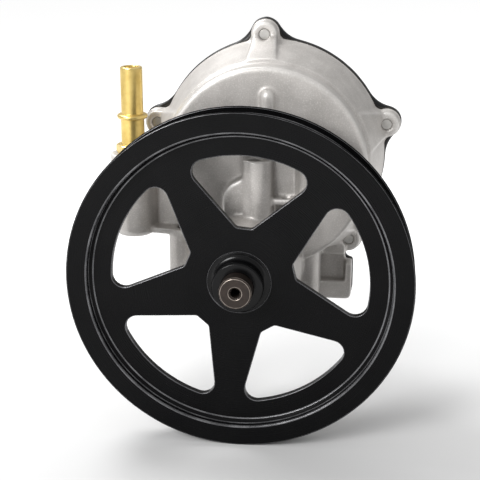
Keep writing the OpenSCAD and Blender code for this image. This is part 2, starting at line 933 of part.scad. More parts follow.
module divider_plate() {
    color([0.66, 0.66, 0.66])
        difference() {
            union() {
                y_slab(plate_y, joint_y - 0.05)
                    chamber_outline(plate_r - still_gap, plate_lobe_r - still_gap);
                at_shaft()
                    y_rod(rear_bearing_y - 1, plate_y + 1, 24);
                at_drum()
                    y_rod(tail_bearing_y - 1, plate_y + 1, 16.5);
                at_idler()
                    y_rod(gear_end + 1.6, plate_y + 1, 7.2);
            }
            at_shaft() {
                y_rod(rear_bearing_y - 2, rear_bearing_y + 12, input_bearing[1]);
                y_rod(rear_bearing_y + 11, joint_y - 1.5, 13);
            }
            at_drum() {
                y_rod(tail_bearing_y - 2, tail_bearing_y + 8, fast_bearing[1]);
                y_rod(tail_bearing_y + 7, joint_y + 1, 9);
                y_rod(16.5, 21, 11);
            }
            at_idler()
                y_rod(0, 19, idler_pin_r);
            for (a = divider_screw_angles)
                at_drum()
                    rotate([0, -a, 0])
                        translate([45.5, 0, 0]) {
                            y_rod(0, joint_y + 1, 2.7);
                            y_rod(joint_y - 5.5, joint_y + 1, 4.6);
                        }
            for (p = dowel_places)
                translate([p[0], 0, p[1]])
                    y_rod(plate_y - 1, plate_y + 6, dowel_r);
        }
}

module volute_gasket() {
    color([0.12, 0.12, 0.12])
        difference() {
            y_slab(joint_y, volute_y)
                difference() {
                    intersection() {
                        flange_outline(0.2, 6);
                        translate([-100, 0])
                            square([200, 200]);
                    }
                    chamber_outline(plate_r - 1, plate_lobe_r - 1);
                }
            for (ear = ears)
                translate([ear[0], 0, ear[1]])
                    y_rod(joint_y - 1, volute_y + 1, screw_hole_r);
        }
}

volute_flange_t = 6;

module flange_screws() {
    color([0.25, 0.25, 0.27])
        for (ear = ears)
            translate([ear[0], 0, ear[1]])
                difference() {
                    union() {
                        y_rod(ear_front + 1, volute_y + volute_flange_t, screw_r);
                        y_rod(volute_y + volute_flange_t, volute_y + volute_flange_t + 6, 5);
                    }
                    y_slab(volute_y + volute_flange_t + 3, volute_y + volute_flange_t + 7)
                        circle(r = 2.9, $fn = 6);
                }
}

module divider_screws() {
    color([0.3, 0.3, 0.32])
        for (a = divider_screw_angles)
            at_drum()
                rotate([0, -a, 0])
                    translate([45.5, 0, 0])
                        difference() {
                            union() {
                                y_rod(2, joint_y - 5.5, 2.4);
                                y_rod(joint_y - 5.5, joint_y - 0.6, 4.25);
                            }
                            y_slab(joint_y - 3, joint_y)
                                circle(r = 2.3, $fn = 6);
                        }
}

module dowel_pins() {
    color([0.7, 0.7, 0.72])
        for (p = dowel_places)
            translate([p[0], 0, p[1]])
                y_rod(plate_y - 5.5, plate_y + 5.5, dowel_r);
}

// ---------- volute ----------

// The scroll is a row of ring segments whose section grows towards the outlet.
scroll_parts = 10;

function scroll_angle(s) = scroll_start - scroll_sweep * s;
function scroll_section_r(s, wall) = 6 + (scroll_tube_r - 6) * s - wall;
function scroll_centre_r(s) = scroll_line_r - 4.5 * (1 - s);
function scroll_y(s) = volute_y + 3 + scroll_section_r(s, 0);

module scroll_solid(wall) {
    for (i = [0:scroll_parts - 1]) {
        s = (i + 0.5) / scroll_parts;
        rotate([-90, 0, 0])
            rotate([0, 0, -scroll_angle(i / scroll_parts)])
                rotate_extrude(angle = scroll_sweep / scroll_parts + 1)
                    translate([scroll_centre_r(s), scroll_y(s)])
                        circle(r = scroll_section_r(s, wall), $fn = 48);
    }
}

// The outlet pipe leaves the end of the scroll, downwards.
outlet_a = scroll_angle(1);
outlet_top = [scroll_line_r * cos(outlet_a), scroll_y(1), scroll_line_r * sin(outlet_a)];
outlet_len = (drum_z + outlet_top[2] - outlet_end_z) / cos(outlet_lean);

module outlet_place() {
    translate([drum_x, 0, drum_z])
        translate(outlet_top)
            rotate([0, 180 + outlet_lean, 0])
                children();
}

eye_bore_r = 21;

module rear_volute() {
    color([0.04, 0.04, 0.045])
        difference() {
            union() {
                y_slab(volute_y, volute_y + volute_flange_t)
                    intersection() {
                        flange_outline(0.7, 16);
                        translate([-100, 0])
                            square([200, 200]);
                    }
                at_drum() {
                    scroll_solid(0);
                    y_turn()
                        polygon([[0, volute_y], [44, volute_y], [44, volute_y + 8], [33, volute_y + 19],
                            [29, 44], [inlet_r, 50], [inlet_r, inlet_end_y - 1],
                            [inlet_r - 1, inlet_end_y], [0, inlet_end_y]]);
                }
                outlet_place() {
                    cylinder(h = outlet_len, r = outlet_r);
                    translate([0, 0, outlet_len - 4.5])
                        cylinder(h = 2.5, r = outlet_r + 1);
                }
            }
            at_drum() {
                // Space for the impeller and the ring duct around it.
                y_turn()
                    polygon(concat(
                        [[0, volute_y - 1], [34, volute_y - 1], [34, wheel_front + 2 + wheel_tip_w]],
                        [[impeller_r + 1, wheel_front + 2 + wheel_tip_w]],
                        [for (p = shroud_points()) [p[0] + 0.6, p[1] + 0.6]],
                        [[eye_bore_r, wheel_rear + 2], [eye_bore_r + 1.5, inlet_end_y - 4],
                         [eye_bore_r + 2.5, inlet_end_y + 1], [0, inlet_end_y + 1]]));
                scroll_solid(3);
            }
            outlet_place()
                translate([0, 0, -1])
                    cylinder(h = outlet_len + 2, r = outlet_r - 2.5);
            for (ear = ears)
                translate([ear[0], 0, ear[1]]) {
                    y_rod(volute_y - 1, volute_y + volute_flange_t + 1, 3.2);
                    y_rod(volute_y + volute_flange_t, volute_y + volute_flange_t + 10, 5.5);
                }
        }
}

// ---------- hose nipple ----------

nipple_socket_z = 74;
nipple_socket_r = 7.5;
nipple_bore_r = 4;
bead_z = 105.5;

// The tube is thicker between the hexagon and the bead, where no hose sits.
nipple_root_r = nipple_r + 0.4;

module hose_nipple() {
    color([0.78, 0.62, 0.3])
        translate([tower[0], tower[1], 0])
            difference() {
                union() {
                    rotate_extrude()
                        polygon(concat(
                            [[nipple_bore_r, nipple_socket_z + 1], [nipple_socket_r - still_gap, nipple_socket_z + 1],
                             [nipple_socket_r - still_gap, tower_top], [9, tower_top], [9, tower_top + 1],
                             [nipple_root_r, tower_top + 1], [nipple_root_r, bead_z - 1.2]],
                            arc_points(nipple_r + 1.3, bead_z, 1.2, -90, 90, 6),
                            [[nipple_r, bead_z + 1.2], [nipple_r, nipple_top - 2.2]],
                            arc_points(nipple_r - 1, nipple_top - 1, 1, 0, 180, 8),
                            [[nipple_bore_r, nipple_top - 2]]));
                    z_rod(0, 0, tower_top, tower_top + 5, 9.6, $fn = 6);
                }
                z_rod(0, 0, nipple_socket_z, nipple_top + 1, nipple_bore_r);
                // Groove for the O-ring.
                translate([0, 0, nipple_socket_z + 3])
                    rotate_extrude()
                        translate([5.6, 0])
                            square([4, 2.4]);
            }
}

module nipple_o_ring() {
    color([0.08, 0.08, 0.08])
        translate([tower[0], tower[1], nipple_socket_z + 4.2])
            rotate_extrude()
                translate([6.6, 0])
                    circle(r = 0.85, $fn = 24);
}

// ---------- the nodes ----------

front_housing();
divider_plate();
volute_gasket();
rear_volute();
flange_screws();
divider_screws();
dowel_pins();
pulley_wheel();
pulley_hub();
input_shaft();
input_gear();
gear_key();
input_spacer();
input_seal();
front_circlip();
front_bearing_outer_ring();
front_bearing_inner_ring();
front_bearing_balls();
front_bearing_cage();
rear_bearing_outer_ring();
rear_bearing_inner_ring();
rear_bearing_balls();
rear_bearing_cage();
idler_pin();
idler_bush();
idler_gear();
idler_washers();
impeller_shaft();
impeller_sleeve();
impeller();
impeller_nut();
impeller_seal();
nose_bearing_outer_ring();
nose_bearing_inner_ring();
nose_bearing_balls();
nose_bearing_cage();
tail_bearing_outer_ring();
tail_bearing_inner_ring();
tail_bearing_balls();
tail_bearing_cage();
preload_spring();
hose_nipple();
nipple_o_ring();
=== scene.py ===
"""Looks of a belt-driven centrifugal supercharger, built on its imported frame.

Every length is in metres. X is to the right seen from the pulley, Y is rearward along the shafts and Z is up.
"""

import logging
import math
from dataclasses import dataclass
from enum import Enum

import bmesh
import bpy
import numpy as np
from mathutils import Matrix, Vector


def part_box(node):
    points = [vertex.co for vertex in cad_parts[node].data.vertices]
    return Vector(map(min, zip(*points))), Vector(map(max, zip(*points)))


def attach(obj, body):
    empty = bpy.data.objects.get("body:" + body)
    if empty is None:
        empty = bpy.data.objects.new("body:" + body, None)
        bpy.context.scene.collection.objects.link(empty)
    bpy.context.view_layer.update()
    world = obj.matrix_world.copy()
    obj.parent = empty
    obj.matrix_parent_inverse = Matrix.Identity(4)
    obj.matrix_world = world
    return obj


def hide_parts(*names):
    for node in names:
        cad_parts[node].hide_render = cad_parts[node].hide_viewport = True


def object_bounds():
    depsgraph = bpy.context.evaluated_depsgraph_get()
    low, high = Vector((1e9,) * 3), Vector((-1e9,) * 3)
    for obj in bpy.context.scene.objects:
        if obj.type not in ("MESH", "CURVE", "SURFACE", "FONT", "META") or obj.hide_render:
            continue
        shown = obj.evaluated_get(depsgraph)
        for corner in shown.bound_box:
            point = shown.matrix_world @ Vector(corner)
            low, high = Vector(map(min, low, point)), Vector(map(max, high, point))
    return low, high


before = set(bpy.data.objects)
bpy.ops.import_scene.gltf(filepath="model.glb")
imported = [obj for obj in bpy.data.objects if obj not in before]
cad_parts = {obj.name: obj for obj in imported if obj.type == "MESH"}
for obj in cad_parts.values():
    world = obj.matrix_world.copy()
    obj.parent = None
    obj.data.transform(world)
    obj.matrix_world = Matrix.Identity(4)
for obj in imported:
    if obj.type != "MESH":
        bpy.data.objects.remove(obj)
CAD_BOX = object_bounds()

log = logging.getLogger("supercharger")
MM = 0.001
# Corners of a node's triangles that lie this close are one corner.
WELD = 0.002 * MM


def middle(node: str) -> Vector:
    """Middle of a node's box."""
    low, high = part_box(node)
    return (low + high) / 2


# ---------------------------------------------------------------- finishes


class Lathe(Enum):
    """Axes that turned pieces were machined about, each a point on the axis and the axis itself."""

    SHAFT = (tuple(middle("front_bearing_inner_ring")), "Y")
    DRUM = (tuple(middle("nose_bearing_inner_ring")), "Y")
    IDLER = (tuple(middle("idler_pin")), "Y")
    NIPPLE = (tuple(middle("hose_nipple")), "Z")


def linear(code: str) -> tuple[float, float, float, float]:
    """Turns an sRGB hex code into the linear colour that a shader takes.

    Args:
        code: The colour as "#rrggbb".

    Returns:
        Red, green, blue and alpha, from 0 to 1.
    """
    share = np.array([int(code[i : i + 2], 16) for i in (1, 3, 5)]) / 255
    value = np.where(share <= 0.04045, share / 12.92, ((share + 0.055) / 1.055) ** 2.4)
    return (float(value[0]), float(value[1]), float(value[2]), 1.0)


class Wiring:
    """The node tree of one material while it is being wired."""

    def __init__(self, name: str) -> None:
        """Starts a material with its shader.

        Args:
            name: Name of the material.
        """
        self.material = bpy.data.materials.new(name)
        self.material.use_nodes = True
        self.tree = self.material.node_tree
        self.shader = next(n for n in self.tree.nodes if n.type == "BSDF_PRINCIPLED")

    def add(self, kind: str, inputs: dict, **settings: object) -> bpy.types.Node:
        """Adds one node.

        Args:
            kind: Type of the node, without its "ShaderNode" start.
            inputs: A number, colour or socket for each input, by name or number.
            **settings: Properties of the node.

        Returns:
            The node.
        """
        node = self.tree.nodes.new("ShaderNode" + kind)
        for key, value in settings.items():
            setattr(node, key, value)
        for key, value in inputs.items():
            if isinstance(value, bpy.types.NodeSocket):
                self.tree.links.new(value, node.inputs[key])
            else:
                node.inputs[key].default_value = value
        return node

    def noise(self, size: float, detail: float = 3.0, rough: float = 0.55) -> bpy.types.NodeSocket:
        """Adds noise over the piece.

        Args:
            size: Size of one patch.
            detail: Number of finer layers.
            rough: Strength of each finer layer.

        Returns:
            A value that wanders about 0.5.
        """
        place = self.add("TexCoord", {}).outputs["Object"]
        spots = {"Vector": place, "Scale": 1 / size, "Detail": detail, "Roughness": rough}
        return self.add("TexNoise", spots).outputs["Fac"]

    def rings(self, lathe: Lathe, pitch: float) -> bpy.types.NodeSocket:
        """Adds the marks that a turning tool leaves: noise along (distance from the axis + distance along it).

        Args:
            lathe: Axis of the marks.
            pitch: Usual width of one mark.

        Returns:
            A value that wanders about 0.5.
        """
        centre, axis = lathe.value
        place = self.add("TexCoord", {}).outputs["Object"]
        moved = self.add("VectorMath", {0: place, 1: centre}, operation="SUBTRACT").outputs[0]
        along = (0.0, 1.0, 0.0) if axis == "Y" else (0.0, 0.0, 1.0)
        across = tuple(1.0 - a for a in along)
        flat = self.add("VectorMath", {0: moved, 1: across}, operation="MULTIPLY").outputs[0]
        radius = self.add("VectorMath", {0: flat}, operation="LENGTH").outputs["Value"]
        depth = self.add("VectorMath", {0: moved, 1: along}, operation="DOT_PRODUCT").outputs["Value"]
        total = self.add("Math", {0: radius, 1: depth}, operation="ADD").outputs[0]
        marks = {"W": total, "Scale": 1 / pitch, "Detail": 2.0, "Roughness": 0.6}
        return self.add("TexNoise", marks, noise_dimensions="1D").outputs["Fac"]

    def ramp(self, value: bpy.types.NodeSocket, start: tuple, end: tuple) -> bpy.types.NodeSocket:
        """Maps a value from one range to another, held at its ends.

        Args:
            value: The value.
            start: Its range.
            end: The range wanted.

        Returns:
            The mapped value.
        """
        spans = {"Value": value, 1: start[0], 2: start[1], 3: end[0], 4: end[1]}
        return self.add("MapRange", spans, clamp=True).outputs["Result"]

    def mix(self, share: bpy.types.NodeSocket, first: object, second: object) -> bpy.types.NodeSocket:
        """Mixes two colours.

        Args:
            share: How much of the second.
            first: Colour or socket.
            second: Colour or socket.

        Returns:
            The mixed colour.
        """
        node = self.add("Mix", {0: share, 6: first, 7: second}, data_type="RGBA")
        return node.outputs[2]


@dataclass(frozen=True)
class Finish:
    """One surface finish.

    The colour wanders between two tones in patches; the grain's tops get painted glints and the convex edges a painted
    highlight, both in a third colour; the roughness wanders with the grain. The grain and the turning marks stand up
    as bumps.
    """

    name: str
    tone: str
    second: str
    metal: float
    rough: float
    spread: float = 0.08
    patch: float = 14 * MM
    grain: float = 0.8 * MM
    grain_depth: float = 0.012 * MM
    mark: float = 0.35 * MM
    mark_depth: float = 0.0
    # edge is the colour of the painted highlight on convex edges and of the painted glints; edge_share is the
    # highlight's strength.
    edge: str = ""
    edge_share: float = 0.7
    gloss: float = 0.5
    # painted_glint is the share of painted glints on the grain's tops.
    painted_glint: float = 0.0

    def material(self, lathe: Lathe | None = None) -> bpy.types.Material:
        """Makes the finish's material, or finds the one already made.

        Args:
            lathe: Axis of the turning marks, or None for no marks.

        Returns:
            The material.
        """
        name = self.name + (f"_turned_on_{lathe.name.lower()}" if lathe else "")
        if name in bpy.data.materials:
            return bpy.data.materials[name]
        wires = Wiring(name)
        colour = wires.mix(
            wires.ramp(wires.noise(self.patch), (0.35, 0.65), (0, 1)), linear(self.tone), linear(self.second)
        )
        fine = wires.noise(self.grain)
        # Painted glints: the grain's tops turn towards the edge colour.
        if self.painted_glint:
            share = wires.ramp(fine, (0.5, 0.72), (0, self.painted_glint))
            colour = wires.mix(share, colour, linear(self.edge))
        # Painted highlight: convex edges, found by the mesh's bend, turn towards the edge colour.
        if self.edge:
            bend = wires.add("NewGeometry", {}).outputs["Pointiness"]
            share = wires.ramp(bend, (0.505, 0.56), (0, self.edge_share))
            colour = wires.mix(share, colour, linear(self.edge))
        height = wires.add("Math", {0: fine, 1: self.grain_depth}, operation="MULTIPLY").outputs[0]
        if lathe and self.mark_depth:
            rings = wires.rings(lathe, self.mark)
            extra = wires.add("Math", {0: rings, 1: self.mark_depth}, operation="MULTIPLY").outputs[0]
            height = wires.add("Math", {0: height, 1: extra}, operation="ADD").outputs[0]
            fine = rings
        bump = wires.add("Bump", {"Height": height, "Distance": 1.0, "Strength": 1.0})
        rough = wires.ramp(fine, (0.3, 0.7), (self.rough - self.spread, self.rough + self.spread))
        wires.tree.links.new(colour, wires.shader.inputs["Base Color"])
        wires.tree.links.new(rough, wires.shader.inputs["Roughness"])
        wires.tree.links.new(bump.outputs["Normal"], wires.shader.inputs["Normal"])
        wires.shader.inputs["Metallic"].default_value = self.metal
        wires.shader.inputs["Specular IOR Level"].default_value = self.gloss
        return wires.material


class Surface(Enum):
    """The finishes of the real pieces."""

    # Sand-cast aluminium, bead-blasted: warm light grey, fine pits, with painted glints on the grain and a painted
    # highlight on the edges.
    CAST = Finish(
        "Blasted_cast_aluminium", "#bbb7b3", "#aeaaa6", 0.45, 0.44, 0.1, 9 * MM, 0.7 * MM, 0.12 * MM,
        edge="#edebe8", edge_share=0.7, painted_glint=0.35,
    )
    # Cast scroll under black enamel: deep black, a little lumpy, with a painted highlight on its edges.
    ENAMEL = Finish(
        "Black_enamel_on_casting", "#0c0c0d", "#121213", 0.0, 0.36, 0.08, 10 * MM, 1.6 * MM, 0.05 * MM,
        edge="#2c2c2e", edge_share=0.4, gloss=0.3,
    )
    # Black electro-coat over a turned pulley: satin gloss, turning marks just visible under it.
    PULLEY_COAT = Finish(
        "Black_electrocoat_on_pulley", "#060607", "#09090a", 0.0, 0.27, 0.04, 16 * MM, 0.9 * MM, 0.0008 * MM,
        0.8 * MM, 0.0004 * MM, gloss=0.1,
    )
    # Painted highlight: the same coat along the broken edges, painted grey so that they catch the light.
    PULLEY_EDGE_HIGHLIGHT = Finish(
        "Painted_highlight_on_electrocoat_edge", "#6c6c6e", "#4a4a4c", 0.4, 0.28, 0.05, 9 * MM, 0.7 * MM, 0.002 * MM,
    )
    # The hub's coat is the same, on a finer turned face.
    HUB_COAT = Finish(
        "Black_electrocoat_on_hub", "#060607", "#09090a", 0.0, 0.2, 0.04, 8 * MM, 0.7 * MM, 0.0012 * MM,
        0.5 * MM, 0.0012 * MM, gloss=0.22,
    )
    # Ground shaft steel with a brown storage tarnish; its chamfers get a painted highlight of their own.
    TARNISHED = Finish(
        "Tarnished_shaft_steel", "#362d28", "#2a2420", 0.55, 0.42, 0.09, 3 * MM, 0.5 * MM, 0.006 * MM,
        0.3 * MM, 0.004 * MM,
    )
    # Painted highlight: the same steel along its chamfers, painted bright.
    SHAFT_EDGE_HIGHLIGHT = Finish(
        "Painted_highlight_on_shaft_steel_edge", "#a39a92", "#857b73", 0.9, 0.3, 0.05, 3 * MM, 0.4 * MM, 0.003 * MM,
    )
    # Turned yellow brass, satin, with a light tarnish and a painted highlight on its edges.
    BRASS = Finish(
        "Turned_yellow_brass", "#e3c87c", "#d3b567", 0.9, 0.33, 0.05, 6 * MM, 0.5 * MM, 0.0015 * MM,
        0.7 * MM, 0.0022 * MM, edge="#f6e6ad", edge_share=0.6,
    )
    # Zinc-plated screws, their ends dull, with a painted highlight on their edges.
    ZINC = Finish(
        "Zinc_plated_steel", "#a9a6a1", "#918e8a", 0.85, 0.38, 0.08, 3 * MM, 0.4 * MM, 0.006 * MM,
        edge="#dcdad6", edge_share=0.6,
    )
    # Aluminium cut bright on the machine.
    MACHINED = Finish(
        "Machined_aluminium", "#c9c9c8", "#bcbcbc", 1.0, 0.30, 0.07, 10 * MM, 0.5 * MM, 0.002 * MM,
        0.35 * MM, 0.006 * MM,
    )
    # Black-oxide screws and nuts with an oily sheen, and a painted highlight on their edges.
    OXIDE = Finish(
        "Black_oxide_steel", "#26262a", "#1c1c1f", 0.8, 0.36, 0.08, 3 * MM, 0.4 * MM, 0.004 * MM,
        edge="#77777c", edge_share=0.5,
    )
    # Ground pins, spacers and keys.
    GROUND = Finish(
        "Ground_bright_steel", "#b5b6b8", "#a5a6a9", 1.0, 0.24, 0.06, 5 * MM, 0.3 * MM, 0.002 * MM,
        0.2 * MM, 0.003 * MM,
    )
    # Case-hardened gears, faintly straw-coloured on the flanks.
    GEAR = Finish(
        "Hardened_gear_steel", "#8f8a82", "#7d7973", 1.0, 0.33, 0.08, 4 * MM, 0.3 * MM, 0.003 * MM,
        0.3 * MM, 0.004 * MM,
    )
    # Bearing rings, ground and honed.
    BEARING = Finish(
        "Honed_bearing_steel", "#bdbfc2", "#b0b2b6", 1.0, 0.17, 0.05, 6 * MM, 0.3 * MM, 0.001 * MM,
        0.25 * MM, 0.002 * MM,
    )
    # Lapped balls.
    BALL = Finish("Lapped_ball_steel", "#c9cbce", "#c0c2c6", 1.0, 0.07, 0.03, 4 * MM, 0.3 * MM, 0.0005 * MM)
    # Bearing cages of pressed brass.
    CAGE = Finish("Pressed_cage_brass", "#b89445", "#a37f38", 1.0, 0.36, 0.08, 3 * MM, 0.3 * MM, 0.004 * MM)
    # Sintered bronze, dull and full of pores.
    BRONZE = Finish("Sintered_bronze", "#9c6f3f", "#865d35", 0.9, 0.48, 0.1, 2.5 * MM, 0.25 * MM, 0.012 * MM)
    # Nitrile rubber, matt.
    RUBBER = Finish("Nitrile_rubber", "#151516", "#1d1d1e", 0.0, 0.62, 0.08, 3 * MM, 0.4 * MM, 0.008 * MM)
    # Dark fibre gasket.
    FIBRE = Finish("Fibre_gasket", "#24221f", "#35312b", 0.0, 0.85, 0.08, 2 * MM, 0.3 * MM, 0.02 * MM)


def dress(piece: bpy.types.Object, surface: Surface, lathe: Lathe | None = None) -> None:
    """Gives a piece its finish.

    Args:
        piece: The piece.
        surface: Its finish.
        lathe: Axis of its turning marks, or None.
    """
    piece.data.materials.clear()
    piece.data.materials.append(surface.value.material(lathe))


def paint_edge_highlight(piece: bpy.types.Object, surface: Surface) -> None:
    """Gives the broken edges of a softened piece a finish of their own: a painted highlight.

    Args:
        piece: The piece, already dressed.
        surface: The finish of the painted highlight on its edges.
    """
    piece.data.materials.append(surface.value.material())
    piece.modifiers["Broken_edges"].material = 1


# ---------------------------------------------------------------- shapes


def merged(node: str, name: str, flat: float = 0.4) -> bpy.types.Object:
    """Copies a node's loose triangles into one closed mesh with whole faces.

    Args:
        node: The node.
        name: Name of the copy.
        flat: Largest angle in degrees at which two faces are taken as one, or 0 to keep the triangles.

    Returns:
        The new object, linked to the scene.
    """
    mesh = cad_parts[node].data.copy()
    mesh.name = name
    work = bmesh.new()
    work.from_mesh(mesh)
    bmesh.ops.remove_doubles(work, verts=work.verts, dist=WELD)
    if flat:
        bmesh.ops.dissolve_limit(work, angle_limit=math.radians(flat), verts=work.verts, edges=work.edges)
    work.to_mesh(mesh)
    work.free()
    piece = bpy.data.objects.new(name, mesh)
    bpy.context.scene.collection.objects.link(piece)
    return piece


def bake_modifiers(piece: bpy.types.Object) -> None:
    """Writes a piece's modifiers into its mesh and removes them."""
    graph = bpy.context.evaluated_depsgraph_get()
    mesh = bpy.data.meshes.new_from_object(piece.evaluated_get(graph), depsgraph=graph)
    piece.modifiers.clear()
    old, piece.data = piece.data, mesh
    mesh.name = piece.name
    bpy.data.meshes.remove(old)


def softened(node: str, name: str, width: float, corner: float = 28.0, steps: int = 2) -> bpy.types.Object:
    """Copies a node and breaks its sharp edges.

    Args:
        node: The node.
        name: Name of the piece.
        width: Width of the broken edge.
        corner: Angle in degrees from which an edge counts as sharp.
        steps: Faces across each broken edge.

    Returns:
        The piece.
    """
    piece = merged(node, name)
    bevel = piece.modifiers.new("Broken_edges", "BEVEL")
    bevel.limit_method = "ANGLE"
    bevel.angle_limit = math.radians(corner)
    bevel.width = width
    bevel.segments = steps
    bevel.use_clamp_overlap = False
    bevel.miter_outer = "MITER_ARC"
    piece.data.shade_smooth()
    normals = piece.modifiers.new("Face_normals", "WEIGHTED_NORMAL")
    normals.keep_sharp = True
    return piece


def recast(node: str, name: str, cell: float, rounds: int, budget: int) -> bpy.types.Object:
    """Copies a node as a casting: its surface is laid anew in small cells and relaxed, so every corner gets a fillet.

    Args:
        node: The node.
        name: Name of the piece.
        cell: Size of a cell.
        rounds: Rounds of relaxing, more for larger fillets.
        budget: Most triangles of the piece.

    Returns:
        The piece.
    """
    piece = merged(node, name, 0)
    remesh = piece.modifiers.new("Cells", "REMESH")
    remesh.mode = "VOXEL"
    remesh.voxel_size = cell
    relax = piece.modifiers.new("Relax", "SMOOTH")
    relax.factor = 0.5
    relax.iterations = rounds
    bake_modifiers(piece)
    count = sum(len(face.vertices) - 2 for face in piece.data.polygons)
    if count > budget:
        thin = piece.modifiers.new("Thin", "DECIMATE")
        thin.ratio = budget / count
        bake_modifiers(piece)
    piece.data.shade_smooth()
    log.info("%s: %d triangles before thinning", name, count)
    return piece


def eased(corners: np.ndarray, ease: np.ndarray, steps: int = 5) -> np.ndarray:
    """Rounds the corners of a closed profile.

    Each corner B becomes the curve (1 - t)^2 A + 2 t (1 - t) B + t^2 C. A and C lie before and after it at its ease,
    or at 0.45 of the side where that is shorter.

    Args:
        corners: Array of corners by 2.
        ease: How far each curve starts from its corner.
        steps: Points on each curve.

    Returns:
        Array of corners times steps by 2.
    """
    before, after = np.roll(corners, 1, axis=0) - corners, np.roll(corners, -1, axis=0) - corners
    ends = []
    for side in (before, after):
        long = np.linalg.norm(side, axis=1)
        ends.append(corners + side * (np.minimum(ease, 0.45 * long) / long)[:, None])
    t = np.linspace(0, 1, steps)[None, :, None]
    curve = (1 - t) ** 2 * ends[0][:, None] + 2 * t * (1 - t) * corners[:, None] + t**2 * ends[1][:, None]
    return curve.reshape(-1, 2)


def grid_piece(name: str, points: np.ndarray) -> bpy.types.Object:
    """Makes a closed ring surface from a grid of points, joined round in both directions.

    Args:
        name: Name of the piece.
        points: Array of rows by columns by 3. Rows run round the profile and columns round the axis.

    Returns:
        The piece, smooth, with its faces outward.
    """
    rows, columns = points.shape[:2]
    index = np.arange(rows * columns).reshape(rows, columns)
    across = np.roll(index, -1, axis=1)
    corners = np.stack([index, across, np.roll(across, -1, axis=0), np.roll(index, -1, axis=0)], axis=-1)
    mesh = bpy.data.meshes.new(name)
    mesh.from_pydata(points.reshape(-1, 3), [], corners.reshape(-1, 4))
    mesh.update()
    work = bmesh.new()
    work.from_mesh(mesh)
    bmesh.ops.recalc_face_normals(work, faces=work.faces)
    work.to_mesh(mesh)
    work.free()
    mesh.shade_smooth()
    piece = bpy.data.objects.new(name, mesh)
    bpy.context.scene.collection.objects.link(piece)
    return piece


# ---------------------------------------------------------------- sub-assemblies


@dataclass
class SubAssembly:
    """Pieces that belong together and ride on one body of the frame."""

    body: str = "root"

    def keep(self, surface: Surface, lathe: Lathe | None, *nodes: str) -> None:
        """Keeps the frame's own shape of some nodes and gives them a finish.

        Args:
            surface: The finish.
            lathe: Axis of the turning marks, or None.
            *nodes: The nodes.
        """
        for node in nodes:
            dress(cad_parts[node], surface, lathe)
        log.info("kept %s in %s", ", ".join(nodes), surface.value.name)

    def put(
        self, piece: bpy.types.Object, surface: Surface, lathe: Lathe | None, slot: str, *nodes: str
    ) -> bpy.types.Object:
        """Finishes a new piece and lets it stand for its nodes.

        Args:
            piece: The piece.
            surface: Its finish.
            lathe: Axis of its turning marks, or None.
            slot: Not used.
            *nodes: The nodes that it stands for.

        Returns:
            The piece.
        """
        dress(piece, surface, lathe)
        for node in nodes:
            dress(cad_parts[node], surface, lathe)
        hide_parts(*nodes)
        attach(piece, self.body)
        log.info("made %s, %d faces", piece.name, len(piece.data.polygons))
        return piece


@dataclass
class Housing(SubAssembly):
    """The two castings, the gasket between them and what holds them together."""

    cell: float = 0.8 * MM
    fillet_rounds: int = 7
    scroll_rounds: int = 34
    scroll_coarser: float = 1.2
    budget: int = 190_000
    screw_edge: float = 0.3 * MM

    def build(self) -> None:
        """Builds the castings and dresses the fixed pieces."""
        coarser = 1
        cell = self.cell * coarser
        rounds = self.fillet_rounds // coarser
        body = recast("front_housing", "Front_housing_casting", cell, rounds, self.budget)
        self.put(body, Surface.CAST, None, "cast_aluminium", "front_housing")
        cell *= self.scroll_coarser
        scroll = recast("rear_volute", "Rear_scroll_casting", cell, self.scroll_rounds, self.budget // 2)
        self.put(scroll, Surface.ENAMEL, None, "black_casting", "rear_volute")
        self.keep(Surface.FIBRE, None, "volute_gasket")
        screws = softened("flange_screws", "Flange_screws_eased", self.screw_edge)
        self.put(screws, Surface.ZINC, None, "bright_steel", "flange_screws")
        self.keep(Surface.MACHINED, Lathe.DRUM, "divider_plate")
        self.keep(Surface.OXIDE, None, "divider_screws", "front_circlip")
        self.keep(Surface.GROUND, None, "dowel_pins", "preload_spring")
        self.keep(Surface.RUBBER, None, "input_seal", "impeller_seal", "nipple_o_ring")
        self.keep(Surface.GROUND, Lathe.IDLER, "idler_pin")
        self.keep(Surface.BRONZE, None, "idler_washers")
        for end, axis in (("front", Lathe.SHAFT), ("rear", Lathe.SHAFT), ("nose", Lathe.DRUM), ("tail", Lathe.DRUM)):
            self.keep(Surface.BEARING, axis, f"{end}_bearing_outer_ring")


